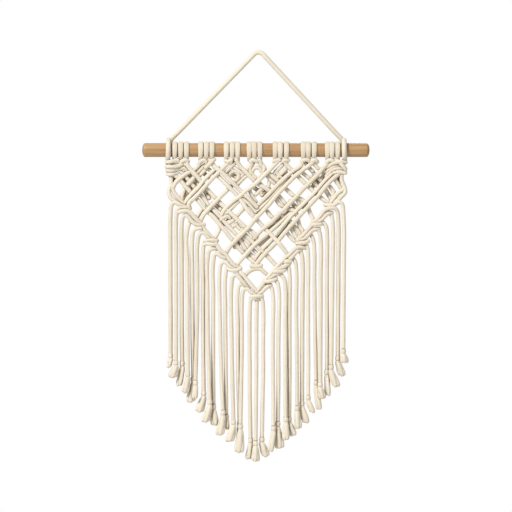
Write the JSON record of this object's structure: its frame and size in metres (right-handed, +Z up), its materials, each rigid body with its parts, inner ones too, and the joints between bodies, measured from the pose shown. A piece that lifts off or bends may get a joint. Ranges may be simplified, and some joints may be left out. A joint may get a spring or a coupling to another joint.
{
  "type": "macrame wall hanging with dowel",
  "caption": "Macrame wall hanging: a pointed net of knotted cotton cord with a long cut fringe, worked on a round wooden dowel that hangs by a taut cord.",
  "frame": {"origin": "where the hanger cord rests on the nail or hook, over the dowel", "axes": "+X along the dowel to the viewer's right, +Z up, front toward -Y, wall behind toward +Y"},
  "size_m": [0.26, 0.0283, 0.4726],
  "materials": {
    "dowel_wood": "smooth, lightly waxed",
    "hanger_cotton": "smooth twisted cotton",
    "net_cotton": "soft twisted cotton",
    "fringe_left_cotton": "soft cotton strands with frayed ends",
    "fringe_right_cotton": "soft cotton strands with frayed ends",
    "fringe_tip_cotton": "soft cotton strands with frayed ends"
  },
  "bodies": {
    "root": {"dowel": "dowel_wood", "hanger_cord": "hanger_cotton", "net_panel": "net_cotton", "fringe_left": "fringe_left_cotton", "fringe_right": "fringe_right_cotton", "fringe_tip": "fringe_tip_cotton"}
  },
  "joints": []
}
